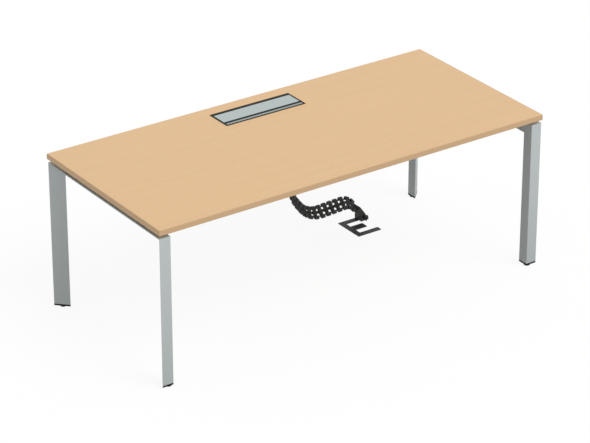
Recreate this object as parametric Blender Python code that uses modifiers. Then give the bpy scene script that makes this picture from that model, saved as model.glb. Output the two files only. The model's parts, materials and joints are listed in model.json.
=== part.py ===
"""Straight office desk on two triangular-section end frames, with a cable hatch and a cable spine.

Metres, +Z up. The origin is on the floor under the middle of the worktop, +X runs along the
worktop's length and +Y points to the desk's back, where the hatch is.
"""
import bmesh
import bpy
from math import cos, pi, radians, sin, sqrt, tan
from mathutils import Matrix, Vector

# Worktop
LENGTH = 2.000
DEPTH = 0.900
HEIGHT = 0.740
TOP_THICK = 0.025
EDGE_THICK = 0.002
EDGE_ROUND = 0.0008

# End frames: legs and beams share one right-angled triangular tube
PROFILE = 0.055
PROFILE_WALL = 0.0025
PROFILE_ROUND = 0.0012
PROFILE_INNER_ROUND = 0.0005
FRAME_INSET_X = 0.001
FRAME_INSET_Y = 0.005
SHADOW_GAP = 0.015

# Feet
CAP_THICK = 0.008
CAP_PLUG = 0.015
GLIDE_HEIGHT = 0.0065
GLIDE_RADIUS = 0.0145
GLIDE_CHAMFER = 0.002
STEM_RADIUS = 0.005
STEM_LENGTH = 0.045

# Rails and spacers under the worktop
RAIL_TO_EDGE = 0.280
RAIL_WIDTH = 0.030
RAIL_HEIGHT = 0.036
RAIL_WALL = 0.0025
RAIL_DROP = 0.008
RAIL_PLATE_WIDTH = 0.080
RAIL_PLATE_HEIGHT = 0.044
RAIL_PLATE_THICK = 0.004
RAIL_TAB_SPREAD = 0.640
RAIL_TAB_COUNT = 3
RAIL_TAB_LENGTH = 0.040
SPACER_RADIUS = 0.016
SPACER_TO_EDGE = 0.140

# Cable hatch
HATCH_LENGTH = 0.420
HATCH_DEPTH = 0.138
HATCH_TO_BACK = 0.067
LIP_THICK = 0.0015
LIP_SIDE = 0.008
LIP_BACK = 0.015
LIP_OVERLAP = 0.003
HATCH_WALL = 0.004
HATCH_DROP = 0.040
LID_THICK = 0.004
LID_DEPTH = 0.0855
LID_SKIRT = 0.006
LID_SIDE_GAP = 0.001
LID_BACK_GAP = 0.0015
LEDGE_LENGTH = 0.008
LEDGE_DEPTH = 0.016
LEDGE_THICK = 0.004
HINGE_ROD_RADIUS = 0.0018
STRIP_DEPTH = 0.012
STRIP_THICK = 0.0025
STRIP_SKIRT = 0.014
SEAL_THICK = 0.003
SEAL_GAP = 0.002

# Cable tray under the hatch
TRAY_LENGTH = 0.600
TRAY_DEPTH = 0.090
TRAY_WALL = 0.002
TRAY_MARGIN = 0.010
TRAY_FLANGE = 0.018
OUTLET_LENGTH = 0.044
OUTLET_WIDTH = 0.026

# Cable spine: identical links on pins across the desk, from the tray down to a plate on the floor
SPINE_X = 0.2108
SPINE_BEHIND_HATCH = 0.056
LINK_PITCH = 0.0317
LINK_WIDTH = 0.060
LINK_HEIGHT = 0.047
BAND_THICK = 0.0065
BAND_GAP = 0.0132
BAND_ROUND = 0.003
HOOK_DROP = 0.016
WEB_LEAN = 0.030
KNUCKLE_RADIUS = 0.005
KNUCKLE_CLEARANCE = 0.0015
TONGUE_THICK = 0.006
CHEEK_THICK = 0.003
CHEEK_GAP = 0.0004
PIN_RADIUS = 0.002
UPRIGHT_LINKS = 9
BEND_LINKS = 3
HANG_LINKS = 2
TURN_LINKS = 3
RUN_LINKS = 5
FALL_LINKS = 2
HANG_SLOPE = 52
FALL_SLOPE = 51
CLIP_LENGTH = 0.044
CLIP_WIDTH = 0.022
CLIP_THICK = 0.003
CLIP_NECK = 0.053

# Spine foot, floor plate and clamp knob
FOOT_WIDTH = 0.053
FOOT_DEPTH = 0.030
FOOT_TOP_WIDTH = 0.054
FOOT_TOP_DEPTH = 0.034
FOOT_LENGTH = 0.071
FOOT_SHOULDER = 0.032
FOOT_REACH = 0.034
FOOT_BEHIND = 0.022
FOOT_ROUND = 0.003
EAR_WIDTH = 0.016
EAR_THICK = 0.0035
EAR_HEIGHT = 0.0145
PLATE_THICK = 0.004
PLATE_DEPTH = 0.164
PLATE_BACKBONE = 0.027
PLATE_ARM = 0.028
PLATE_ARM_LENGTH = 0.129
PLATE_MIDDLE_ARM = 0.039
PLATE_MIDDLE_LENGTH = 0.094
PLATE_ROUND = 0.002
PLATE_TO_FOOT = 0.1085
LUG_WIDTH = 0.016
LUG_THICK = 0.004
LUG_HEIGHT = 0.030
KNOB_RADIUS = 0.010
KNOB_LENGTH = 0.014
KNOB_CHAMFER = 0.0015
KNOB_STEM_RADIUS = 0.004
KNOB_STEM_LENGTH = 0.012
KNOB_CLEARANCE = 0.0015
KNOB_ASIDE = 0.007

# Clearance between pieces that touch or run in one another
FIT = 0.0003

# Facets of round shapes
ARC_STEPS = 3
ROUND_STEPS = 16
PIN_STEPS = 10
KNUCKLE_STEPS = 6

# Places that several pieces share
TOP_UNDERSIDE = HEIGHT - TOP_THICK
FRAME_TOP = TOP_UNDERSIDE - SHADOW_GAP
LEG_BOTTOM = GLIDE_HEIGHT + CAP_THICK
CORNER_X = LENGTH / 2 - FRAME_INSET_X - PROFILE
CORNER_Y = DEPTH / 2 - FRAME_INSET_Y
HATCH_Y = DEPTH / 2 - HATCH_TO_BACK - HATCH_DEPTH / 2
HATCH_BODY_LENGTH = HATCH_LENGTH - 2 * LIP_OVERLAP
HATCH_BODY_DEPTH = HATCH_DEPTH - 2 * LIP_OVERLAP
LIP_TOP = HEIGHT + FIT + LIP_THICK
LID_LENGTH = HATCH_LENGTH - 2 * LIP_SIDE - 2 * LID_SIDE_GAP
HINGE_Y = HATCH_Y + HATCH_DEPTH / 2 - LIP_BACK - LID_BACK_GAP - LID_THICK
HINGE_Z = LIP_TOP - LID_THICK
LID_FRONT = HINGE_Y + LID_THICK - LID_DEPTH
TRAY_HALF = HATCH_BODY_DEPTH / 2 + TRAY_MARGIN
SPINE_Y = HATCH_Y + SPINE_BEHIND_HATCH
TRAY_BOTTOM = TOP_UNDERSIDE - FIT - TRAY_DEPTH
SPINE_TOP = TRAY_BOTTOM - FIT - CLIP_THICK - CLIP_NECK
FOOT_BOTTOM = PLATE_THICK + FIT
SPINE_BOTTOM = FOOT_BOTTOM + FOOT_LENGTH
HUB_START = KNUCKLE_RADIUS + KNUCKLE_CLEARANCE
HUB_HALF = TONGUE_THICK / 2 + CHEEK_GAP + CHEEK_THICK
KNOB_REACH = KNOB_CLEARANCE + KNOB_RADIUS

# Which way each plane's outline and its extrusion point
PLANES = {
    "XY": Matrix(((1, 0, 0), (0, 1, 0), (0, 0, 1))),
    "XZ": Matrix(((1, 0, 0), (0, 0, -1), (0, 1, 0))),
    "YZ": Matrix(((0, 0, 1), (1, 0, 0), (0, 1, 0))),
}


def clear_scene():
    for old in list(bpy.data.objects):
        bpy.data.objects.remove(old)


def new_collection(name):
    collection = bpy.data.collections.new(name)
    bpy.context.scene.collection.children.link(collection)
    return collection


def new_material(name, colour, roughness, metallic):
    material = bpy.data.materials.new(name)
    material.use_nodes = True
    shader = material.node_tree.nodes["Principled BSDF"]
    shader.inputs["Base Color"].default_value = (*colour, 1)
    shader.inputs["Roughness"].default_value = roughness
    shader.inputs["Metallic"].default_value = metallic
    material.diffuse_color = (*colour, 1)
    return material


def place(name, mesh, material, location=(0, 0, 0)):
    """A new object of the mesh, with the material, in the desk's collection."""
    piece = bpy.data.objects.new(name, mesh)
    piece.location = location
    if not mesh.materials:
        mesh.materials.append(material)
    DESK.objects.link(piece)
    return piece


def as_tool(piece):
    """Keep a shape that only cuts or joins another piece out of the model."""
    DESK.objects.unlink(piece)
    TOOLS.objects.link(piece)
    piece.hide_render = True
    piece.display_type = "WIRE"
    return piece


def combine(piece, tool, operation):
    modifier = piece.modifiers.new(tool.name, "BOOLEAN")
    modifier.operation = operation
    modifier.object = as_tool(tool)


def baked_mesh(piece):
    """The piece's shape with its modifiers carried out."""
    depsgraph = bpy.context.evaluated_depsgraph_get()
    return bpy.data.meshes.new_from_object(piece.evaluated_get(depsgraph))


def box(name, size, material, location):
    shape = bmesh.new()
    bmesh.ops.create_cube(shape, size=1)
    bmesh.ops.scale(shape, vec=size, verts=shape.verts)
    mesh = bpy.data.meshes.new(name)
    shape.to_mesh(mesh)
    shape.free()
    return place(name, mesh, material, location)


def rectangle(length, depth, centre=(0, 0)):
    x, y = centre
    return [(x + u * length / 2, y + v * depth / 2) for u, v in ((-1, -1), (1, -1), (1, 1), (-1, 1))]


def circle(radius, steps, centre=(0, 0)):
    x, y = centre
    turns = [2 * pi * step / steps for step in range(steps)]
    return [(x + radius * cos(turn), y + radius * sin(turn)) for turn in turns]


def arc(radius, start, end, steps, centre=(0, 0)):
    x, y = centre
    turns = [radians(start + (end - start) * step / steps) for step in range(steps + 1)]
    return [(x + radius * cos(turn), y + radius * sin(turn)) for turn in turns]


def fillet(points, radius, steps, closed=True):
    """The path with each corner rounded to an arc."""
    path = [Vector(point) for point in points]
    rounded = []
    for index, corner in enumerate(path):
        if not closed and index in (0, len(path) - 1):
            rounded.append(corner)
            continue
        back = (path[index - 1] - corner).normalized()
        ahead = (path[(index + 1) % len(path)] - corner).normalized()
        half = back.angle(ahead) / 2
        centre = corner + (back + ahead).normalized() * radius / sin(half)
        start = corner + back * radius / tan(half) - centre
        end = corner + ahead * radius / tan(half) - centre
        sweep = pi - 2 * half
        for step in range(steps + 1):
            part = step / steps
            spoke = (start * sin((1 - part) * sweep) + end * sin(part * sweep)) / sin(sweep)
            rounded.append(centre + spoke)
    return rounded


def ribbon(points, thickness):
    """Outline of a strip of even thickness along an open path."""
    path = [Vector(point) for point in points]
    steps = [(after - before).normalized() for before, after in zip(path, path[1:])]
    left, right = [], []
    for index, point in enumerate(path):
        before = steps[max(index - 1, 0)]
        after = steps[min(index, len(steps) - 1)]
        along = (before + after).normalized()
        across = Vector((-along.y, along.x)) * thickness / 2 / along.dot(after)
        left.append(point + across)
        right.append(point - across)
    return left + right[::-1]


def extruded(name, outlines, length, plane, material, location=(0, 0, 0)):
    """A solid of the outlines, the later ones holes in the first, as long as given and centred."""
    curve = bpy.data.curves.new(name, "CURVE")
    curve.dimensions = "2D"
    curve.fill_mode = "BOTH"
    curve.extrude = length / 2
    for outline in outlines:
        spline = curve.splines.new("POLY")
        spline.points.add(len(outline) - 1)
        spline.use_cyclic_u = True
        for point, (x, y) in zip(spline.points, outline):
            point.co = (x, y, 0, 1)
    guide = bpy.data.objects.new(name, curve)
    TOOLS.objects.link(guide)
    mesh = baked_mesh(guide)
    bpy.data.objects.remove(guide)
    shape = bmesh.new()
    shape.from_mesh(mesh)
    bmesh.ops.remove_doubles(shape, verts=shape.verts, dist=1e-6)
    bmesh.ops.transform(shape, matrix=PLANES[plane].to_4x4(), verts=shape.verts)
    bmesh.ops.recalc_face_normals(shape, faces=shape.faces)
    shape.to_mesh(mesh)
    shape.free()
    mesh.name = name
    return place(name, mesh, material, location)


def lofted(name, rings, material):
    """A closed solid through rings of points, all with as many points, from the lowest ring up."""
    count = len(rings[0])
    points = [point for ring in rings for point in ring]
    last = len(points) - count
    faces = [list(range(count))[::-1], list(range(last, last + count))]
    for start in range(0, last, count):
        for side in range(count):
            here, after = start + side, start + (side + 1) % count
            faces.append([here, after, after + count, here + count])
    mesh = bpy.data.meshes.new(name)
    mesh.from_pydata(points, [], faces)
    return place(name, mesh, material)


def turned(name, profile, steps, material, location=(0, 0, 0)):
    """A turned solid about Z from (radius, height) points, run from the top down the outside."""
    mesh = bpy.data.meshes.new(name)
    edges = [(index, index + 1) for index in range(len(profile) - 1)]
    mesh.from_pydata([(radius, 0, height) for radius, height in profile], edges, [])
    piece = place(name, mesh, material, location)
    screw = piece.modifiers.new("turn", "SCREW")
    screw.steps = steps
    screw.render_steps = steps
    screw.use_merge_vertices = True
    screw.merge_threshold = 0.00001
    screw.use_smooth_shade = True
    return piece


def rod(name, radius, length, steps, material, location, axis):
    """A plain round bar, centred, along X, Y or Z."""
    plane = {"X": "YZ", "Y": "XZ", "Z": "XY"}[axis]
    return extruded(name, [circle(radius, steps)], length, plane, material, location)


def bevelled(piece, width):
    bevel = piece.modifiers.new("round", "BEVEL")
    bevel.width = width
    bevel.segments = 1
    return piece


# Worktop and its edging
def build_worktop():
    core_length = LENGTH - 2 * (EDGE_THICK + FIT)
    core_depth = DEPTH - 2 * (EDGE_THICK + FIT)
    hole = rectangle(HATCH_BODY_LENGTH + 2 * FIT, HATCH_BODY_DEPTH + 2 * FIT, (0, HATCH_Y))
    middle = TOP_UNDERSIDE + TOP_THICK / 2
    core = [rectangle(core_length, core_depth), hole]
    extruded("worktop", core, TOP_THICK, "XY", LAMINATE, (0, 0, middle))
    for side, name in ((-1, "front"), (1, "back")):
        place_y = side * (DEPTH - EDGE_THICK) / 2
        band = box("edging_" + name, (LENGTH, EDGE_THICK, TOP_THICK), EDGING, (0, place_y, middle))
        bevelled(band, EDGE_ROUND)
    for side, name in ((-1, "left"), (1, "right")):
        place_x = side * (LENGTH - EDGE_THICK) / 2
        band = box("edging_" + name, (EDGE_THICK, core_depth, TOP_THICK), EDGING, (place_x, 0, middle))
        bevelled(band, EDGE_ROUND)


def triangle(inset, round_radius, x_way, y_way):
    """The tube's section, drawn in by the inset, from its right angle along both short sides."""
    reach = PROFILE - inset * (2 + sqrt(2))
    corners = [(0, 0), (reach, 0), (0, reach)]
    outline = fillet(corners, round_radius, ARC_STEPS)
    return [((point.x + inset) * x_way, (point.y + inset) * y_way) for point in outline]


def tube_sections(x_way, y_way):
    outer = triangle(0, PROFILE_ROUND, x_way, y_way)
    inner = triangle(PROFILE_WALL, PROFILE_INNER_ROUND, x_way, y_way)
    return [outer, inner]


# Legs, mitred at the top to the beams
def build_leg(name, x_side, y_side):
    length = FRAME_TOP - LEG_BOTTOM
    middle = (FRAME_TOP + LEG_BOTTOM) / 2
    corner = (x_side * CORNER_X, y_side * CORNER_Y, middle)
    leg = extruded("leg_" + name, tube_sections(x_side, -y_side), length, "XY", SILVER, corner)
    for vertex in leg.data.vertices:
        if vertex.co.z > 0:
            vertex.co.z -= abs(vertex.co.y) + FIT
        else:
            vertex.co.z += FIT


# Beams across the ends, under the worktop
def build_beam(name, x_side):
    corner = (x_side * CORNER_X, 0, FRAME_TOP)
    beam = extruded("end_beam_" + name, tube_sections(x_side, -1), 2 * CORNER_Y, "XZ", SILVER, corner)
    for vertex in beam.data.vertices:
        way = 1 if vertex.co.y > 0 else -1
        vertex.co.y += way * vertex.co.z


# Foot caps and levelling glides
def build_foot(name, x_side, y_side):
    corner = Vector((x_side * CORNER_X, y_side * CORNER_Y, 0))
    inradius = PROFILE * (1 - 1 / sqrt(2))
    centre = (x_side * inradius, -y_side * inradius)
    stem_hole = circle(STEM_RADIUS + FIT, PIN_STEPS, centre)
    flange_z = GLIDE_HEIGHT + CAP_THICK / 2
    outline = triangle(0, PROFILE_ROUND, x_side, -y_side)
    cap = extruded("foot_cap_" + name, [outline, stem_hole], CAP_THICK - FIT, "XY", BLACK_PLASTIC,
                   corner + Vector((0, 0, flange_z)))
    plug_outline = triangle(PROFILE_WALL + FIT, PROFILE_INNER_ROUND, x_side, -y_side)
    plug_z = LEG_BOTTOM + CAP_PLUG / 2 - CAP_THICK / 2
    plug = extruded("cap_plug_" + name, [plug_outline, stem_hole], CAP_PLUG + CAP_THICK / 2, "XY",
                    BLACK_PLASTIC, corner + Vector((0, 0, plug_z)))
    combine(cap, plug, "UNION")
    profile = [
        (0, GLIDE_HEIGHT + STEM_LENGTH),
        (STEM_RADIUS, GLIDE_HEIGHT + STEM_LENGTH),
        (STEM_RADIUS, GLIDE_HEIGHT - FIT),
        (GLIDE_RADIUS, GLIDE_HEIGHT - FIT),
        (GLIDE_RADIUS, GLIDE_CHAMFER),
        (GLIDE_RADIUS - GLIDE_CHAMFER, 0),
        (0, 0),
    ]
    turned("glide_" + name, profile, ROUND_STEPS, BLACK_PLASTIC, corner + Vector((*centre, 0)))


# Rails between the end beams, with fixing tabs up to the worktop
def build_rail(name, y_side):
    rail_y = y_side * (DEPTH / 2 - RAIL_TO_EDGE)
    rail_top = FRAME_TOP - RAIL_DROP
    span = 2 * (CORNER_X - FIT)
    half = (RAIL_WIDTH - RAIL_WALL) / 2
    path = [(-half, -RAIL_HEIGHT), (-half, -RAIL_WALL / 2), (half, -RAIL_WALL / 2), (half, -RAIL_HEIGHT)]
    rail = extruded("rail_" + name, [ribbon(path, RAIL_WALL)], span, "YZ", SILVER, (0, rail_y, rail_top))
    plate_size = (RAIL_PLATE_THICK, RAIL_PLATE_WIDTH, RAIL_PLATE_HEIGHT)
    for way in (-1, 1):
        plate_place = (way * (span - RAIL_PLATE_THICK) / 2, rail_y, rail_top - RAIL_HEIGHT / 2)
        combine(rail, box("rail_plate", plate_size, SILVER, plate_place), "UNION")
    tab_base = rail_top - RAIL_WALL
    tab_height = TOP_UNDERSIDE - FIT - tab_base
    for number in range(RAIL_TAB_COUNT):
        tab_x = RAIL_TAB_SPREAD * (number - (RAIL_TAB_COUNT - 1) / 2)
        tab_size = (RAIL_TAB_LENGTH, RAIL_WIDTH - 2 * RAIL_WALL, tab_height)
        tab_place = (tab_x, rail_y, tab_base + tab_height / 2)
        combine(rail, box("rail_tab", tab_size, SILVER, tab_place), "UNION")


# Spacers that hold the worktop clear of the beams
def build_spacers():
    height = SHADOW_GAP - 2 * FIT
    profile = [(0, height / 2), (SPACER_RADIUS, height / 2), (SPACER_RADIUS, -height / 2), (0, -height / 2)]
    for x_side, x_name in ((-1, "left"), (1, "right")):
        for y_side, y_name in ((-1, "front"), (1, "rear")):
            spacer_x = x_side * (CORNER_X + PROFILE / 2)
            spacer_y = y_side * (DEPTH / 2 - SPACER_TO_EDGE)
            spacer = (spacer_x, spacer_y, FRAME_TOP + SHADOW_GAP / 2)
            turned("spacer_" + y_name + "_" + x_name, profile, ROUND_STEPS, BLACK_PLASTIC, spacer)


# Hatch: a lipped frame through the worktop, a lid on a rod along its back, a strip and a seal in front
def build_hatch():
    wall_centre = HEIGHT + FIT + LIP_THICK / 2 - HATCH_DROP / 2
    body_hole = rectangle(HATCH_BODY_LENGTH - 2 * HATCH_WALL, HATCH_BODY_DEPTH - 2 * HATCH_WALL)
    body = [rectangle(HATCH_BODY_LENGTH, HATCH_BODY_DEPTH), body_hole]
    frame = extruded("hatch_frame", body, HATCH_DROP, "XY", BLACK_PLASTIC, (0, HATCH_Y, wall_centre))
    lip_hole_depth = HATCH_DEPTH - LIP_SIDE - LIP_BACK
    lip_hole = rectangle(HATCH_LENGTH - 2 * LIP_SIDE, lip_hole_depth, (0, (LIP_SIDE - LIP_BACK) / 2))
    lip = [rectangle(HATCH_LENGTH, HATCH_DEPTH), lip_hole]
    lip_z = HEIGHT + FIT + LIP_THICK / 2
    combine(frame, extruded("hatch_lip", lip, LIP_THICK, "XY", BLACK_PLASTIC, (0, HATCH_Y, lip_z)), "UNION")
    hinge = (0, HINGE_Y, HINGE_Z)
    bore = rod("rod_bore", HINGE_ROD_RADIUS + FIT, HATCH_LENGTH, PIN_STEPS, STEEL, hinge, "X")
    combine(frame, bore, "DIFFERENCE")
    ledge_size = (LEDGE_LENGTH + HATCH_WALL / 2, LEDGE_DEPTH, LEDGE_THICK)
    ledge_y = LID_FRONT + LID_THICK + LEDGE_DEPTH / 2
    for way in (-1, 1):
        ledge_x = way * (HATCH_BODY_LENGTH - HATCH_WALL - ledge_size[0]) / 2
        ledge_place = (ledge_x, ledge_y, HINGE_Z - FIT - LEDGE_THICK / 2)
        combine(frame, box("lid_ledge", ledge_size, BLACK_PLASTIC, ledge_place), "UNION")
    rod("hatch_hinge_rod", HINGE_ROD_RADIUS, HATCH_BODY_LENGTH - HATCH_WALL / 2, PIN_STEPS, STEEL, hinge, "X")
    build_lid(hinge)
    build_strip_and_seal()


def build_lid(hinge):
    reach = LID_DEPTH - LID_THICK
    barrel = arc(LID_THICK, 90, -180, 3 * ARC_STEPS)
    skirt_back = -reach + LID_THICK / 2
    front = [(skirt_back, 0), (skirt_back, -LID_SKIRT), (-reach, -LID_SKIRT), (-reach, LID_THICK)]
    bore = circle(HINGE_ROD_RADIUS + FIT, PIN_STEPS)
    extruded("hatch_lid", [barrel + front, bore], LID_LENGTH, "YZ", ALUMINIUM, hinge)


def build_strip_and_seal():
    wall_y = HATCH_Y - HATCH_BODY_DEPTH / 2 + HATCH_WALL + FIT
    lip_y = HATCH_Y - HATCH_DEPTH / 2 + LIP_SIDE + FIT
    back_y = lip_y + STRIP_DEPTH
    lip_under = HEIGHT
    strip = [
        (wall_y, lip_under - STRIP_THICK),
        (wall_y, lip_under - STRIP_SKIRT),
        (lip_y + STRIP_THICK, lip_under - STRIP_SKIRT),
        (lip_y + STRIP_THICK, LIP_TOP - STRIP_THICK),
        (back_y, LIP_TOP - STRIP_THICK),
        (back_y, LIP_TOP),
        (lip_y, LIP_TOP),
        (lip_y, lip_under - STRIP_THICK),
    ]
    extruded("hatch_strip", [strip], LID_LENGTH, "YZ", ALUMINIUM)
    seal_top = LIP_TOP - STRIP_THICK - FIT
    seal_front = lip_y + STRIP_THICK + FIT
    seal_depth = LID_FRONT - SEAL_GAP - seal_front
    seal_place = (0, seal_front + seal_depth / 2, seal_top - SEAL_THICK / 2)
    box("hatch_seal", (LID_LENGTH, seal_depth, SEAL_THICK), RUBBER, seal_place)


# Tray: a folded sheet under the hatch, with an outlet for cables before and after the clip
def build_tray():
    flange_end = TRAY_HALF + TRAY_FLANGE
    half_wall = TRAY_WALL / 2
    path = [
        (-flange_end, -half_wall),
        (-TRAY_HALF, -half_wall),
        (-TRAY_HALF, half_wall - TRAY_DEPTH),
        (TRAY_HALF, half_wall - TRAY_DEPTH),
        (TRAY_HALF, -half_wall),
        (flange_end, -half_wall),
    ]
    seat = (0, HATCH_Y, TOP_UNDERSIDE - FIT)
    tray = extruded("cable_tray", [ribbon(path, TRAY_WALL)], TRAY_LENGTH, "YZ", BLACK_STEEL, seat)
    outlet_size = (OUTLET_LENGTH, OUTLET_WIDTH, 4 * TRAY_WALL)
    for way in (-1, 1):
        outlet_x = SPINE_X + way * (CLIP_LENGTH + OUTLET_LENGTH) / 2
        outlet = box("tray_outlet", outlet_size, BLACK_STEEL, (outlet_x, SPINE_Y, TRAY_BOTTOM))
        combine(tray, outlet, "DIFFERENCE")


def tongue(length, end_x):
    """Side view of a tongue that ends in a bored knuckle, from the pivot's end back along -X."""
    nose = arc(KNUCKLE_RADIUS, -90, 90, KNUCKLE_STEPS, (end_x, 0))
    heel = [(end_x - length, KNUCKLE_RADIUS), (end_x - length, -KNUCKLE_RADIUS)]
    return [nose + heel, circle(PIN_RADIUS + FIT, PIN_STEPS, (end_x, 0))]


def fork(name, end_x, material):
    """A hub with two cheeks and a pin across them at the origin, running along +X to its end."""
    nose = arc(KNUCKLE_RADIUS, 90, 270, KNUCKLE_STEPS)
    heel = [(end_x, -KNUCKLE_RADIUS), (end_x, KNUCKLE_RADIUS)]
    hub = extruded(name + "_hub", [nose + heel], 2 * HUB_HALF, "XZ", material)
    slot_length = HUB_START + 2 * KNUCKLE_RADIUS
    slot_size = (slot_length, TONGUE_THICK + 2 * CHEEK_GAP, 4 * KNUCKLE_RADIUS)
    slot = box(name + "_slot", slot_size, material, (HUB_START - slot_length / 2, 0, 0))
    combine(hub, slot, "DIFFERENCE")
    pin = rod(name + "_pin", PIN_RADIUS, TONGUE_THICK + 2 * CHEEK_GAP + CHEEK_THICK, PIN_STEPS, material,
              (0, 0, 0), "Y")
    combine(hub, pin, "UNION")
    mesh = baked_mesh(hub)
    bpy.data.objects.remove(hub)
    return place(name, mesh, material)


# Links: an S-shaped band that holds cables on both sides of a hub
def link_mesh():
    hub_end = LINK_PITCH - HUB_START
    link = fork("spine_link", hub_end, BLACK_PLASTIC)
    tongue_length = LINK_PITCH - HUB_START - KNUCKLE_RADIUS
    combine(link, extruded("link_tongue", tongue(tongue_length, LINK_PITCH), TONGUE_THICK, "XZ",
                           BLACK_PLASTIC), "UNION")
    edge = (LINK_WIDTH - BAND_THICK) / 2
    crest = (LINK_HEIGHT - BAND_THICK) / 2
    half = [(edge, crest - HOOK_DROP), (edge, crest), (WEB_LEAN / 2, crest)]
    path = half + [(-y, -z) for y, z in half[::-1]]
    band = ribbon(fillet(path, BAND_ROUND, 2, closed=False), BAND_THICK)
    combine(link, extruded("link_band", [band], LINK_PITCH - BAND_GAP, "YZ", BLACK_PLASTIC,
                           (LINK_PITCH / 2, 0, 0)), "UNION")
    mesh = baked_mesh(link)
    bpy.data.objects.remove(link)
    return mesh


def eased(start, end, count):
    """That many slopes in even steps between two others."""
    return [start + (end - start) * number / (count + 1) for number in range(1, count + 1)]


def spine_slopes(run_slope):
    """Downward slope of every link in degrees, for a given slope of the run above the floor."""
    slopes = [90] * UPRIGHT_LINKS
    slopes += eased(90, HANG_SLOPE, BEND_LINKS)
    slopes += [HANG_SLOPE] * HANG_LINKS
    slopes += eased(HANG_SLOPE, run_slope, TURN_LINKS)
    slopes += [run_slope] * RUN_LINKS
    slopes += eased(run_slope, FALL_SLOPE, FALL_LINKS - 1)
    slopes.append(FALL_SLOPE)
    return slopes


def closed_slopes():
    """The slopes whose drop brings the foot exactly to its plate on the floor."""
    low, high = -60.0, 60.0
    for halving in range(60):
        run_slope = (low + high) / 2
        drop = sum(LINK_PITCH * sin(radians(slope)) for slope in spine_slopes(run_slope))
        if drop < SPINE_TOP - SPINE_BOTTOM:
            low = run_slope
        else:
            high = run_slope
    return spine_slopes(run_slope)


# Spine: a clip under the tray, the links, and the foot on its plate
def build_spine():
    pivot = Vector((SPINE_X, SPINE_Y, SPINE_TOP))
    build_clip(pivot)
    mesh = link_mesh()
    for number, slope in enumerate(closed_slopes(), 1):
        link = place("spine_link_%02d" % number, mesh, BLACK_PLASTIC, pivot)
        link.rotation_euler = (0, radians(slope), 0)
        pivot = pivot + LINK_PITCH * Vector((cos(radians(slope)), 0, -sin(radians(slope))))
    base = pivot + Vector((FOOT_REACH, FOOT_BEHIND - FOOT_WIDTH / 2, FOOT_BOTTOM - SPINE_BOTTOM))
    knob_axis = base + Vector((KNOB_ASIDE, -FOOT_WIDTH / 2 - KNOB_REACH, EAR_HEIGHT))
    build_spine_foot(pivot, base, knob_axis)
    build_plate(pivot, base)
    build_knob(knob_axis)


def build_clip(pivot):
    plate_z = TRAY_BOTTOM - FIT - CLIP_THICK / 2
    plate_size = (CLIP_LENGTH, CLIP_WIDTH, CLIP_THICK)
    clip = box("spine_top_clip", plate_size, BLACK_PLASTIC, (pivot.x, pivot.y, plate_z))
    side = tongue(CLIP_NECK + CLIP_THICK / 2, 0)
    neck = extruded("clip_neck", side, TONGUE_THICK, "XZ", BLACK_PLASTIC, pivot)
    neck.rotation_euler = (0, pi / 2, 0)
    combine(clip, neck, "UNION")


# Foot: a block on the plate, drawn up to the last link, with an ear for the knob on its front
def build_spine_foot(pivot, base, knob_axis):
    foot = fork("spine_foot", HUB_START + KNUCKLE_RADIUS, BLACK_PLASTIC)
    foot.location = pivot
    foot.rotation_euler = (0, radians(FALL_SLOPE), 0)
    along = Vector((cos(radians(FALL_SLOPE)), 0, -sin(radians(FALL_SLOPE))))
    across = Vector((-along.z, 0, along.x))
    neck = pivot + along * HUB_START
    upward = Vector((0, 0, FOOT_SHOULDER))
    floor_ring = [base + Vector((x, y, 0)) for x, y in rectangle(FOOT_DEPTH, FOOT_WIDTH)]
    shoulder_ring = [point + upward for point in floor_ring]
    top = rectangle(FOOT_TOP_DEPTH, FOOT_TOP_WIDTH)
    neck_ring = [neck + across * x + Vector((0, y, 0)) for x, y in top]
    shell = lofted("foot_shell", [floor_ring, shoulder_ring, neck_ring], BLACK_PLASTIC)
    combine(foot, bevelled(shell, FOOT_ROUND), "UNION")
    ear_reach = KNOB_REACH + EAR_WIDTH / 2 + FOOT_ROUND
    ear_place = knob_axis + Vector((0, ear_reach / 2 - EAR_WIDTH / 2, EAR_THICK / 2))
    combine(foot, box("foot_ear", (EAR_WIDTH, ear_reach, EAR_THICK), BLACK_PLASTIC, ear_place), "UNION")
    bore = rod("knob_bore", KNOB_STEM_RADIUS + FIT, 3 * EAR_THICK, PIN_STEPS, STEEL, knob_axis, "Z")
    combine(foot, bore, "DIFFERENCE")
    slot_size = (LUG_WIDTH + 2 * FIT, LUG_THICK + 2 * FIT, 2 * (LUG_HEIGHT + FIT))
    combine(foot, box("lug_slot", slot_size, BLACK_PLASTIC, (base.x, pivot.y, FOOT_BOTTOM)), "DIFFERENCE")


# Floor plate shaped like a letter E, with an upright lug for the foot on its rear arm
def build_plate(pivot, base):
    arm_end = PLATE_ARM_LENGTH
    outer = PLATE_DEPTH / 2
    arm = outer - PLATE_ARM
    middle = PLATE_MIDDLE_ARM / 2
    half = [
        (0, outer),
        (arm_end, outer),
        (arm_end, arm),
        (PLATE_BACKBONE, arm),
        (PLATE_BACKBONE, middle),
        (PLATE_MIDDLE_LENGTH, middle),
    ]
    outline = half + [(x, -y) for x, y in half[::-1]]
    plate_y = pivot.y + FOOT_BEHIND - outer
    plate = extruded("floor_plate", [fillet(outline, PLATE_ROUND, 1)], PLATE_THICK, "XY", BLACK_STEEL,
                     (base.x - PLATE_TO_FOOT, plate_y, PLATE_THICK / 2))
    lug_size = (LUG_WIDTH, LUG_THICK, FOOT_BOTTOM + LUG_HEIGHT - PLATE_THICK / 2)
    lug_place = (base.x, pivot.y, PLATE_THICK / 2 + lug_size[2] / 2)
    combine(plate, box("plate_lug", lug_size, BLACK_STEEL, lug_place), "UNION")


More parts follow.
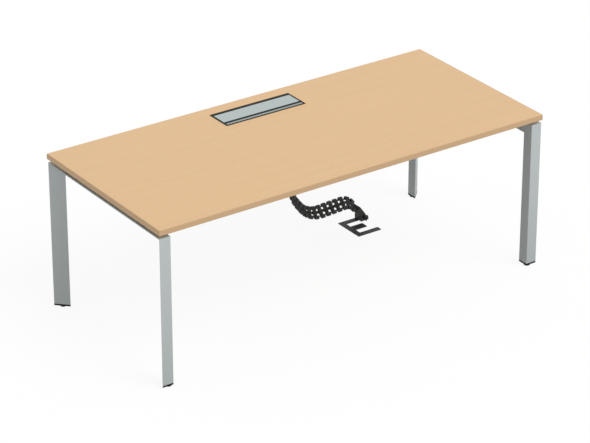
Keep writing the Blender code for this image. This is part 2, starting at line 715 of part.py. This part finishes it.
# Knob above the foot's ear, with its threaded stem down through it
def build_knob(knob_axis):
    under = EAR_THICK + FIT
    top = under + KNOB_LENGTH
    profile = [
        (0, top),
        (KNOB_RADIUS - KNOB_CHAMFER, top),
        (KNOB_RADIUS, top - KNOB_CHAMFER),
        (KNOB_RADIUS, under),
        (KNOB_STEM_RADIUS, under),
        (KNOB_STEM_RADIUS, under - KNOB_STEM_LENGTH),
        (0, under - KNOB_STEM_LENGTH),
    ]
    turned("clamp_knob", profile, ROUND_STEPS, BLACK_PLASTIC, knob_axis)


clear_scene()
DESK = new_collection("office_desk")
TOOLS = new_collection("cutters")
LAMINATE = new_material("beech_laminate", (0.74, 0.52, 0.30), 0.45, 0.0)
EDGING = new_material("beech_edging", (0.66, 0.46, 0.27), 0.5, 0.0)
SILVER = new_material("silver_powder_coat", (0.47, 0.51, 0.50), 0.45, 0.6)
ALUMINIUM = new_material("anodised_aluminium", (0.50, 0.56, 0.57), 0.35, 0.9)
STEEL = new_material("zinc_plated_steel", (0.55, 0.56, 0.57), 0.3, 1.0)
BLACK_STEEL = new_material("black_powder_coat", (0.035, 0.037, 0.036), 0.55, 0.3)
BLACK_PLASTIC = new_material("black_plastic", (0.025, 0.027, 0.026), 0.5, 0.0)
RUBBER = new_material("black_rubber", (0.02, 0.02, 0.02), 0.8, 0.0)

build_worktop()
for x_side, x_name in ((-1, "left"), (1, "right")):
    build_beam(x_name, x_side)
    for y_side, y_name in ((-1, "front"), (1, "rear")):
        build_leg(y_name + "_" + x_name, x_side, y_side)
        build_foot(y_name + "_" + x_name, x_side, y_side)
build_rail("front", -1)
build_rail("rear", 1)
build_spacers()
build_hatch()
build_tray()
build_spine()
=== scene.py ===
"""Looks of the straight office desk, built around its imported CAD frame.

Metres, +Z up, in the frame's own axes: +X along the worktop, +Y to the back, origin on the floor.
"""
import json
from math import cos, pi, radians, sin

import bmesh
import bpy
from mathutils import Matrix, Vector


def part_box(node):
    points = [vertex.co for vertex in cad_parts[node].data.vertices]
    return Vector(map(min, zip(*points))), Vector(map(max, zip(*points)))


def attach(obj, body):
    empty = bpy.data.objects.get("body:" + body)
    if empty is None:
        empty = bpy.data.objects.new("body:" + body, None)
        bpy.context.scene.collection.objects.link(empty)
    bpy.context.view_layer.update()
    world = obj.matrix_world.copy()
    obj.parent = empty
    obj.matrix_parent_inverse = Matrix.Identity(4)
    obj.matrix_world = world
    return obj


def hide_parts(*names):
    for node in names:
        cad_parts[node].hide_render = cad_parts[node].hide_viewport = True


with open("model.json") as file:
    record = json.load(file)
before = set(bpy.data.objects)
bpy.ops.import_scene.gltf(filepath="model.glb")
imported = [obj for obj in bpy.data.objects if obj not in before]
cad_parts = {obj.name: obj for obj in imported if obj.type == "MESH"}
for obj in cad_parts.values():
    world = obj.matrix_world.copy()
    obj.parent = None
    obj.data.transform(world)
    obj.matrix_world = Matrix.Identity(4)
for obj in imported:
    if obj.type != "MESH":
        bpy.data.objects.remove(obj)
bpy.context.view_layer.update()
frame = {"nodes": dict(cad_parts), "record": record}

# The photograph's camera: angles in degrees, lens in millimetres
CAMERA_AZIMUTH = -34.81
CAMERA_ELEVATION = 26.54
CAMERA_DISTANCE = 12.550
CAMERA_LENS = 173.80
CAMERA_TARGET = Vector((-0.0178, 0, 0.3198))
CAMERA_CLIP = 200

# Light on the object: an even surround and a wide soft sun from the front, above.
# The sun's way is as long as the light that it adds on a face square to it.
SURROUND = 0.67
KEY_WAY = Vector((0.11, -0.30, 0.35))
KEY_SPREAD = 40

# Floor: what is seen or mirrored of it is mostly plain white, the rest carries the shadow.
# Painted shade: the light that it throws back is painted a darker grey near the desk, so that the legs
# darken towards their feet.
FLOOR_SIZE = 120.0
FLOOR_SHADOW_SHARE = 0.11
BOUNCE_REACH = (2.3, 1.8)
BOUNCE_FAR = (0.72, 0.72, 0.72)
# Painted shade: the darker grey of the floor's bounce near the desk
BOUNCE_NEAR_PAINTED_SHADE = (0.12, 0.12, 0.12)
BOUNCE_NEAR_STOP = 0.4
WHITE = (1, 1, 1, 1)

# Colours of the finishes
TOP_BEECH = (0.718, 0.468, 0.242)
EDGE_BEECH = (0.598, 0.393, 0.217)
SILVER = (0.526, 0.567, 0.564)
ALUMINIUM = (0.455, 0.52, 0.512)
DULL_ALUMINIUM = (0.33, 0.38, 0.37)
ZINC = (0.55, 0.56, 0.57)
BLACK_COAT = (0.032, 0.035, 0.032)
BLACK = (0.032, 0.036, 0.032)
DULL_BLACK = (0.018, 0.019, 0.018)

# Grain of the finishes, in cells a metre along X, Y and Z
TOP_STREAKS = (1.4, 30, 30)
TOP_FLECKS = (70, 1100, 1100)
EDGE_STREAKS = (1.4, 1.4, 160)
EDGE_FLECKS = (60, 60, 1100)
COAT_FLAKES = (2600, 2600, 2600)
COAT_PEEL = (620, 620, 620)
BRUSH_LINES = (6, 1400, 1400)
PLATED_GRAIN = (300, 300, 300)
MOULD_GRAIN = (1300, 1300, 1300)

# Stretch of a noise that holds most of its values
NOISE_LOW = 0.3
NOISE_HIGH = 0.7

# Tones along a noise: its value, and the share of the colour there
STREAK_TONES = ((0.30, 0.982), (0.50, 1), (0.72, 1.015))
LINE_TONES = ((0.25, 0.93), (0.75, 1.06))
MOULD_TONES = ((0.30, 0.8), (0.70, 1.25))
FLECK_TINTS = ((0.60, (1, 1, 1)), (0.70, (0.93, 0.90, 0.86)))

# Looks of nodes unlike the rest of their material slot, by the start of a node's name
LOOKS = {
    "hatch_strip": "dull_aluminium",
    "hatch_frame": "dull_plastic",
    "hatch_seal": "dull_plastic",
    "foot_cap": "dull_plastic",
}

# Roundings that the CAD nodes' sharp edges get, by the start of a node's name
ROUNDINGS = {
    "spine_link": 0.0010,
    "spine_foot": 0.0012,
    "spine_top_clip": 0.0008,
    "floor_plate": 0.0010,
    "cable_tray": 0.0006,
    "rail": 0.0006,
    "foot_cap": 0.0010,
    "spacer": 0.0010,
    "hatch_lid": 0.0007,
    "hatch_strip": 0.0006,
    "hatch_seal": 0.0006,
}

# How roundings are made: points that count as one, and in degrees what counts as flat and as an edge
WELD_REACH = 0.00001
FLAT_ANGLE = 1
EDGE_ANGLE = 30
EDGE_SEGMENTS = 2

# Turned pieces: in degrees what shows as a sharp edge, and the steps in a turn
SHARP_ANGLE = 35
SCREW_STEPS = 24
GLIDE_STEPS = 32
KNOB_STEPS = 60

# Screws under the worktop. The head's profile has shares of its radius and height.
SCREW_RADIUS = 0.0045
SCREW_HEIGHT = 0.0026
SCREW_PROFILE = ((1, 0), (1, 0.45), (0.86, 0.82), (0.62, 1))
WASHER_RADIUS = 0.0070
WASHER_THICK = 0.0010
RECESS_RADIUS = SCREW_RADIUS * 0.52
RECESS_DEPTH = SCREW_HEIGHT * 0.6
RECESS_WAVE = RECESS_RADIUS * 0.3
RECESS_LOBES = 6

# Where the screws are
RAIL_DROP = 0.008
RAIL_WALL = 0.0025
RAIL_TAB_SPREAD = 0.640
RAIL_PLATE_THICK = 0.004
RAIL_PLATE_HEIGHT = 0.044
BOLT_SPREAD = 0.056
TRAY_WALL = 0.002
TRAY_FLANGE = 0.018
TRAY_SCREW_SPREAD = 0.260
CLIP_THICK = 0.003
CLIP_SCREW_SPREAD = 0.030
DOWN = Vector((0, 0, -1))

# Glides. The pad's profile has shares of its radius and height.
THREAD_PITCH = 0.0015
THREAD_DEPTH = 0.0009
GLIDE_STEM_RADIUS = 0.005
GLIDE_HEIGHT = 0.0062
GLIDE_PROFILE = ((0.80, 0), (0.93, 0.08), (1, 0.28), (1, 0.72), (0.95, 0.88), (0.80, 1))

# Knob. Its profiles have a share of the grip's radius, the height over its underside or the depth
# under its top, and a share of the flutes' depth.
KNOB_FLUTES = 10
KNOB_FLUTE_DEPTH = 0.0011
KNOB_LENGTH = 0.014
KNOB_STEM_RADIUS = 0.004
KNOB_BASE = ((0.70, 0, 0), (0.80, 0.0006, 0), (0.96, 0.0022, 1), (1, 0.0034, 1))
KNOB_CROWN = (
    (1, 0.0030, 1),
    (0.97, 0.0016, 1),
    (0.86, 0.0005, 0.5),
    (0.60, 0, 0),
    (0.45, 0.0008, 0),
    (0, 0.0010, 0),
)


# Camera
def towards(azimuth, elevation):
    """Unit vector from the object to a viewer at those angles."""
    turn, rise = radians(azimuth), radians(elevation)
    return Vector((sin(turn) * cos(rise), -cos(turn) * cos(rise), sin(rise)))


def make_camera():
    way = towards(CAMERA_AZIMUTH, CAMERA_ELEVATION)
    camera = bpy.data.objects.new("camera", bpy.data.cameras.new("camera"))
    camera.data.lens = CAMERA_LENS
    camera.data.clip_end = CAMERA_CLIP
    camera.location = CAMERA_TARGET + way * CAMERA_DISTANCE
    camera.rotation_mode = "QUATERNION"
    camera.rotation_quaternion = (-way).to_track_quat("-Z", "Y")
    bpy.context.scene.collection.objects.link(camera)
    bpy.context.scene.camera = camera


# Nodes that stage and materials share
def add(tree, kind, **settings):
    node = tree.nodes.new(kind)
    for name, value in settings.items():
        setattr(node, name, value)
    return node


def join(tree, source, target):
    tree.links.new(source, target)


def own_place(tree, scale):
    """A piece's own coordinates, times the scale."""
    place = add(tree, "ShaderNodeTexCoord")
    stretch = add(tree, "ShaderNodeMapping")
    stretch.inputs["Scale"].default_value = scale
    join(tree, place.outputs["Object"], stretch.inputs["Vector"])
    return stretch.outputs["Vector"]


def ramp(tree, factor, stops):
    """Colour of a factor, from (position, colour) stops."""
    node = add(tree, "ShaderNodeValToRGB")
    elements = node.color_ramp.elements
    while len(elements) < len(stops):
        elements.new(0.5)
    for element, (position, colour) in zip(elements, stops):
        element.position = position
        element.color = (*colour, 1)
    join(tree, factor, node.inputs["Fac"])
    return node.outputs["Color"]


def seen_or_mirrored(tree):
    """1 for rays that show the background straight or in a gloss, and 0 for the light that it gives."""
    path = add(tree, "ShaderNodeLightPath")
    shown = path.outputs["Is Camera Ray"]
    for kind in ("Is Glossy Ray", "Is Transmission Ray"):
        either = add(tree, "ShaderNodeMath", operation="MAXIMUM")
        join(tree, shown, either.inputs[0])
        join(tree, path.outputs[kind], either.inputs[1])
        shown = either.outputs[0]
    return shown


# Stage: surround, lamp and floor
def make_world():
    world = bpy.data.worlds.new("studio")
    world.use_nodes = True
    tree = world.node_tree
    background = tree.nodes["Background"]
    background.inputs["Color"].default_value = WHITE
    level = add(tree, "ShaderNodeMapRange")
    level.inputs["To Min"].default_value = SURROUND
    level.inputs["To Max"].default_value = 1
    join(tree, seen_or_mirrored(tree), level.inputs["Value"])
    join(tree, level.outputs["Result"], background.inputs["Strength"])
    bpy.context.scene.world = world


def make_key_lamp():
    lamp = bpy.data.lights.new("key", "SUN")
    lamp.energy = KEY_WAY.length * pi
    lamp.angle = radians(KEY_SPREAD)
    holder = bpy.data.objects.new("key", lamp)
    holder.rotation_mode = "QUATERNION"
    holder.rotation_quaternion = (-KEY_WAY).to_track_quat("-Z", "Y")
    bpy.context.scene.collection.objects.link(holder)


def floor_bounce_painted_shade(tree):
    """Grey of the light that the floor throws back, by the distance from the desk: painted shade, darker
    near the desk.
    """
    fall = add(tree, "ShaderNodeTexGradient", gradient_type="SPHERICAL")
    place = own_place(tree, (1 / BOUNCE_REACH[0], 1 / BOUNCE_REACH[1], 1))
    join(tree, place, fall.inputs["Vector"])
    stops = [(0.0, BOUNCE_FAR), (BOUNCE_NEAR_STOP, BOUNCE_NEAR_PAINTED_SHADE)]
    return ramp(tree, fall.outputs["Fac"], stops)


def floor_material():
    material = bpy.data.materials.new("floor")
    material.use_nodes = True
    tree = material.node_tree
    tree.nodes.clear()
    # Light that the floor throws back, with painted shade near the desk
    bounce_with_painted_shade = add(tree, "ShaderNodeBsdfDiffuse")
    join(tree, floor_bounce_painted_shade(tree), bounce_with_painted_shade.inputs["Color"])
    lit = add(tree, "ShaderNodeBsdfDiffuse")
    lit.inputs["Color"].default_value = WHITE
    plain = add(tree, "ShaderNodeEmission")
    plain.inputs["Color"].default_value = WHITE
    shown = add(tree, "ShaderNodeMixShader")
    shown.inputs["Fac"].default_value = FLOOR_SHADOW_SHARE
    join(tree, plain.outputs[0], shown.inputs[1])
    join(tree, lit.outputs[0], shown.inputs[2])
    either = add(tree, "ShaderNodeMixShader")
    join(tree, seen_or_mirrored(tree), either.inputs["Fac"])
    join(tree, bounce_with_painted_shade.outputs[0], either.inputs[1])
    join(tree, shown.outputs[0], either.inputs[2])
    output = add(tree, "ShaderNodeOutputMaterial")
    join(tree, either.outputs[0], output.inputs["Surface"])
    return material


def make_floor():
    mesh = bpy.data.meshes.new("floor")
    shape = bmesh.new()
    bmesh.ops.create_grid(shape, x_segments=1, y_segments=1, size=FLOOR_SIZE / 2)
    shape.to_mesh(mesh)
    shape.free()
    mesh.materials.append(floor_material())
    floor = bpy.data.objects.new("floor", mesh)
    bpy.context.scene.collection.objects.link(floor)


# What the finishes share
def new_surface(name, colour, roughness, metallic=0.0, gloss=0.5):
    """A material, its node tree and its shader."""
    material = bpy.data.materials.new(name)
    material.use_nodes = True
    tree = material.node_tree
    shader = tree.nodes["Principled BSDF"]
    shader.inputs["Base Color"].default_value = (*colour, 1)
    shader.inputs["Roughness"].default_value = roughness
    shader.inputs["Metallic"].default_value = metallic
    shader.inputs["Specular IOR Level"].default_value = gloss
    return material, tree, shader


def noise(tree, cells, detail, roughness=0.5):
    """Noise with that many cells a metre along X, Y and Z, in the piece's own coordinates."""
    texture = add(tree, "ShaderNodeTexNoise")
    texture.inputs["Scale"].default_value = 1
    texture.inputs["Detail"].default_value = detail
    texture.inputs["Roughness"].default_value = roughness
    join(tree, own_place(tree, cells), texture.inputs["Vector"])
    return texture.outputs["Fac"]


def tones(tree, grain, colour, shares):
    """The colour in lighter and darker tones along a grain, from (position, share of the colour) pairs."""
    stops = []
    for position, share in shares:
        stops.append((position, tuple(part * share for part in colour)))
    return ramp(tree, grain, stops)


def multiply(tree, first, second):
    node = add(tree, "ShaderNodeMix", data_type="RGBA", blend_type="MULTIPLY")
    node.inputs["Factor"].default_value = 1
    join(tree, first, node.inputs["A"])
    join(tree, second, node.inputs["B"])
    return node.outputs["Result"]


def vary_roughness(tree, shader, grain, low, high):
    """Take the roughness from low to high along a grain."""
    node = add(tree, "ShaderNodeMapRange")
    node.inputs["From Min"].default_value = NOISE_LOW
    node.inputs["From Max"].default_value = NOISE_HIGH
    node.inputs["To Min"].default_value = low
    node.inputs["To Max"].default_value = high
    join(tree, grain, node.inputs["Value"])
    join(tree, node.outputs["Result"], shader.inputs["Roughness"])


def bump(tree, shader, grain, distance, strength):
    node = add(tree, "ShaderNodeBump")
    node.inputs["Strength"].default_value = strength
    node.inputs["Distance"].default_value = distance
    join(tree, grain, node.inputs["Height"])
    join(tree, node.outputs["Normal"], shader.inputs["Normal"])


# Finishes
def beech(name, colour, streaks, flecks, roughness):
    """Beech-effect decor: long soft streaks, short dark flecks and a fine pore texture."""
    material, tree, shader = new_surface(name, colour, roughness)
    tone = tones(tree, noise(tree, streaks, detail=4, roughness=0.6), colour, STREAK_TONES)
    fleck = noise(tree, flecks, detail=1)
    join(tree, multiply(tree, tone, ramp(tree, fleck, FLECK_TINTS)), shader.inputs["Base Color"])
    vary_roughness(tree, shader, fleck, low=roughness - 0.04, high=roughness + 0.06)
    bump(tree, shader, fleck, distance=0.00005, strength=0.35)
    return material


def powder_coat(name, colour, roughness, metallic, flake, gloss):
    """Powder coat: fine flakes in the colour and a shallow orange peel."""
    material, tree, shader = new_surface(name, colour, roughness, metallic, gloss)
    shares = ((0.30, 1 - flake), (0.55, 1), (0.75, 1 + flake))
    tone = tones(tree, noise(tree, COAT_FLAKES, detail=1), colour, shares)
    join(tree, tone, shader.inputs["Base Color"])
    peel = noise(tree, COAT_PEEL, detail=2)
    vary_roughness(tree, shader, peel, low=roughness - 0.05, high=roughness + 0.05)
    bump(tree, shader, peel, distance=0.00006, strength=0.25)
    return material


def brushed_metal(name, colour, roughness, cells):
    """Anodised or plated metal with fine lines along one way."""
    material, tree, shader = new_surface(name, colour, roughness, metallic=1.0)
    line = noise(tree, cells, detail=3, roughness=0.7)
    join(tree, tones(tree, line, colour, LINE_TONES), shader.inputs["Base Color"])
    vary_roughness(tree, shader, line, low=roughness - 0.06, high=roughness + 0.08)
    bump(tree, shader, line, distance=0.00002, strength=0.4)
    return material


def moulded(name, colour, roughness, gloss):
    """Moulded plastic with a spark-eroded grain."""
    material, tree, shader = new_surface(name, colour, roughness, gloss=gloss)
    grain = noise(tree, MOULD_GRAIN, detail=2)
    join(tree, tones(tree, grain, colour, MOULD_TONES), shader.inputs["Base Color"])
    vary_roughness(tree, shader, grain, low=roughness - 0.07, high=roughness + 0.09)
    bump(tree, shader, grain, distance=0.00008, strength=0.6)
    return material


def make_materials():
    """The finishes by name: those of the material slots, and the other names in LOOKS."""
    return {
        "laminate": beech("beech_laminate", TOP_BEECH, TOP_STREAKS, TOP_FLECKS, roughness=0.46),
        "edging": beech("beech_edging", EDGE_BEECH, EDGE_STREAKS, EDGE_FLECKS, roughness=0.5),
        "silver_paint": powder_coat(
            "silver_powder_coat", SILVER, roughness=0.42, metallic=0.12, flake=0.10, gloss=0.2),
        "black_steel": powder_coat(
            "black_powder_coat", BLACK_COAT, roughness=0.5, metallic=0.0, flake=0.20, gloss=0.3),
        "aluminium": brushed_metal("anodised_aluminium", ALUMINIUM, 0.34, BRUSH_LINES),
        "dull_aluminium": brushed_metal("dull_aluminium", DULL_ALUMINIUM, 0.40, BRUSH_LINES),
        "zinc_steel": brushed_metal("zinc_plated_steel", ZINC, 0.30, PLATED_GRAIN),
        "black_plastic": moulded("black_plastic", BLACK, roughness=0.5, gloss=0.35),
        "dull_plastic": moulded("dull_plastic", DULL_BLACK, roughness=0.62, gloss=0.15),
    }


# CAD nodes
def dress_cad_nodes(materials):
    for row in frame["record"]["subparts"]:
        mesh = frame["nodes"][row["node"]].data
        mesh.materials.clear()
        look = row["material_slot"]
        for start, other in LOOKS.items():
            if row["node"].startswith(start):
                look = other
        mesh.materials.append(materials[look])


def soften(node, width):
    """Round a node's sharp edges by the width, with modifiers that leave its mesh as it is."""
    node.modifiers.new("weld", "WELD").merge_threshold = WELD_REACH
    flat = node.modifiers.new("flat", "DECIMATE")
    flat.decimate_type = "DISSOLVE"
    flat.angle_limit = radians(FLAT_ANGLE)
    edge = node.modifiers.new("edge", "BEVEL")
    edge.width = width
    edge.segments = EDGE_SEGMENTS
    edge.limit_method = "ANGLE"
    edge.angle_limit = radians(EDGE_ANGLE)
    edge.harden_normals = True
    node.modifiers.new("clean", "WELD").merge_threshold = WELD_REACH


def soften_cad_edges():
    """Give the CAD nodes the small roundings that catch the light."""
    for name, node in frame["nodes"].items():
        for start, width in ROUNDINGS.items():
            if name.startswith(start):
                soften(node, width)


# Turned pieces
def lathe(shape, rings, steps, lobes, place):
    """Add a closed turned body about Z to the shape, from (radius, height, wave) rings, lowest first.

    A ring's wave draws its radius in by that much between the lobes. The first and last rings are points.
    """
    rows = []
    for radius, height, wave in rings[1:-1]:
        row = []
        for step in range(steps):
            turn = 2 * pi * step / steps
            reach = radius - wave * (1 - cos(lobes * turn)) / 2
            row.append(shape.verts.new(place @ Vector((reach * cos(turn), reach * sin(turn), height))))
        rows.append(row)
    bottom = shape.verts.new(place @ Vector((0, 0, rings[0][1])))
    top = shape.verts.new(place @ Vector((0, 0, rings[-1][1])))
    for step in range(steps):
        after = (step + 1) % steps
        shape.faces.new((bottom, rows[0][after], rows[0][step]))
        shape.faces.new((top, rows[-1][step], rows[-1][after]))
        for low, high in zip(rows, rows[1:]):
            shape.faces.new((low[step], low[after], high[after], high[step]))


def thread(radius, low, high):
    """Rings of a threaded stem between two heights."""
    rings = []
    for turn in range(int((high - low) / THREAD_PITCH)):
        height = low + turn * THREAD_PITCH
        rings.append((radius - THREAD_DEPTH, height, 0))
        rings.append((radius, height + THREAD_PITCH / 2, 0))
    return rings


def new_piece(name, shape, material, body):
    """A piece of the shape, smooth apart from its sharp edges, that rides on a body."""
    mesh = bpy.data.meshes.new(name)
    shape.to_mesh(mesh)
    shape.free()
    mesh.shade_smooth()
    mesh.set_sharp_from_angle(angle=radians(SHARP_ANGLE))
    mesh.materials.append(material)
    piece = bpy.data.objects.new(name, mesh)
    bpy.context.scene.collection.objects.link(piece)
    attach(piece, body)
    return piece


# Fasteners
def add_screw(shape, seat, way):
    """A round head with a lobed recess on its washer, on a seat and standing out along the way."""
    top = WASHER_THICK + SCREW_HEIGHT
    rings = [(0, 0, 0), (WASHER_RADIUS, 0, 0), (WASHER_RADIUS, WASHER_THICK, 0)]
    for reach, rise in SCREW_PROFILE:
        rings.append((SCREW_RADIUS * reach, WASHER_THICK + SCREW_HEIGHT * rise, 0))
    rings += [
        (RECESS_RADIUS, top, RECESS_WAVE),
        (RECESS_RADIUS, top - RECESS_DEPTH, RECESS_WAVE),
        (0, top - RECESS_DEPTH, 0),
    ]
    turn = way.to_track_quat("Z", "Y").to_matrix().to_4x4()
    lathe(shape, rings, SCREW_STEPS, RECESS_LOBES, Matrix.Translation(seat) @ turn)


def rail_seats():
    """Seats and ways of the screws in the rails' webs, and of the bolts in their end plates."""
    seats = []
    web_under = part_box("end_beam_left")[1][2] - RAIL_DROP - RAIL_WALL
    for rail in ("rail_front", "rail_rear"):
        low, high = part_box(rail)
        rail_y = (low[1] + high[1]) / 2
        for number in (-1, 0, 1):
            seats.append((Vector((number * RAIL_TAB_SPREAD, rail_y, web_under)), DOWN))
        bolt_z = low[2] + RAIL_PLATE_HEIGHT / 2
        for inner_x, inward in ((low[0] + RAIL_PLATE_THICK, 1), (high[0] - RAIL_PLATE_THICK, -1)):
            for side in (-1, 1):
                seat = Vector((inner_x, rail_y + side * BOLT_SPREAD / 2, bolt_z))
                seats.append((seat, Vector((inward, 0, 0))))
    return seats


def tray_seats():
    """Seats and ways of the screws in the tray's flanges."""
    seats = []
    low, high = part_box("cable_tray")
    for flange_y in (low[1] + TRAY_FLANGE / 2, high[1] - TRAY_FLANGE / 2):
        for number in (-1, 0, 1):
            seats.append((Vector((number * TRAY_SCREW_SPREAD, flange_y, high[2] - TRAY_WALL)), DOWN))
    return seats


def clip_seats():
    """Seats and ways of the screws in the spine's clip."""
    seats = []
    low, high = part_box("spine_top_clip")
    for side in (-1, 1):
        screw_x = (low[0] + high[0]) / 2 + side * CLIP_SCREW_SPREAD / 2
        seats.append((Vector((screw_x, (low[1] + high[1]) / 2, high[2] - CLIP_THICK)), DOWN))
    return seats


def make_fasteners(materials):
    groups = {"rail_screws": rail_seats(), "tray_screws": tray_seats(), "clip_screws": clip_seats()}
    for name, seats in groups.items():
        shape = bmesh.new()
        for seat, way in seats:
            add_screw(shape, seat, way)
        new_piece(name, shape, materials["zinc_steel"], "desk")


# Glides: a domed pad on a threaded stem
def make_glides(materials):
    for name in frame["nodes"]:
        if not name.startswith("glide_"):
            continue
        low, high = [Vector(corner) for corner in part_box(name)]
        pad = (high.x - low.x) / 2
        rings = [(0, 0, 0)]
        rings += [(pad * reach, GLIDE_HEIGHT * rise, 0) for reach, rise in GLIDE_PROFILE]
        rings += thread(GLIDE_STEM_RADIUS, GLIDE_HEIGHT + THREAD_PITCH / 2, high.z - THREAD_PITCH)
        rings += [(GLIDE_STEM_RADIUS - THREAD_DEPTH, high.z, 0), (0, high.z, 0)]
        shape = bmesh.new()
        centre = Vector(((low.x + high.x) / 2, (low.y + high.y) / 2, low.z))
        lathe(shape, rings, GLIDE_STEPS, 1, Matrix.Translation(centre))
        glide = new_piece(name + "_moulded", shape, materials["dull_plastic"], name)
        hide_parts(name)


# Knob: a fluted grip with a hollowed top on a threaded stem
def make_knob(materials):
    low, high = [Vector(corner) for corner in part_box("clamp_knob")]
    grip = (high.x - low.x) / 2
    under = high.z - KNOB_LENGTH
    rings = [(0, low.z, 0), (KNOB_STEM_RADIUS - THREAD_DEPTH, low.z, 0)]
    rings += thread(KNOB_STEM_RADIUS, low.z + THREAD_PITCH, under)
    rings.append((KNOB_STEM_RADIUS - THREAD_DEPTH, under, 0))
    for reach, rise, flute in KNOB_BASE:
        rings.append((grip * reach, under + rise, KNOB_FLUTE_DEPTH * flute))
    for reach, drop, flute in KNOB_CROWN:
        rings.append((grip * reach, high.z - drop, KNOB_FLUTE_DEPTH * flute))
    shape = bmesh.new()
    centre = Vector(((low.x + high.x) / 2, (low.y + high.y) / 2, 0))
    lathe(shape, rings, KNOB_STEPS, KNOB_FLUTES, Matrix.Translation(centre))
    knob = new_piece("clamp_knob_fluted", shape, materials["black_plastic"], "knob")
    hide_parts("clamp_knob")


bpy.context.scene.view_settings.view_transform = "Standard"
make_camera()
make_world()
make_key_lamp()
make_floor()
MATERIALS = make_materials()
dress_cad_nodes(MATERIALS)
soften_cad_edges()
make_fasteners(MATERIALS)
make_glides(MATERIALS)
make_knob(MATERIALS)
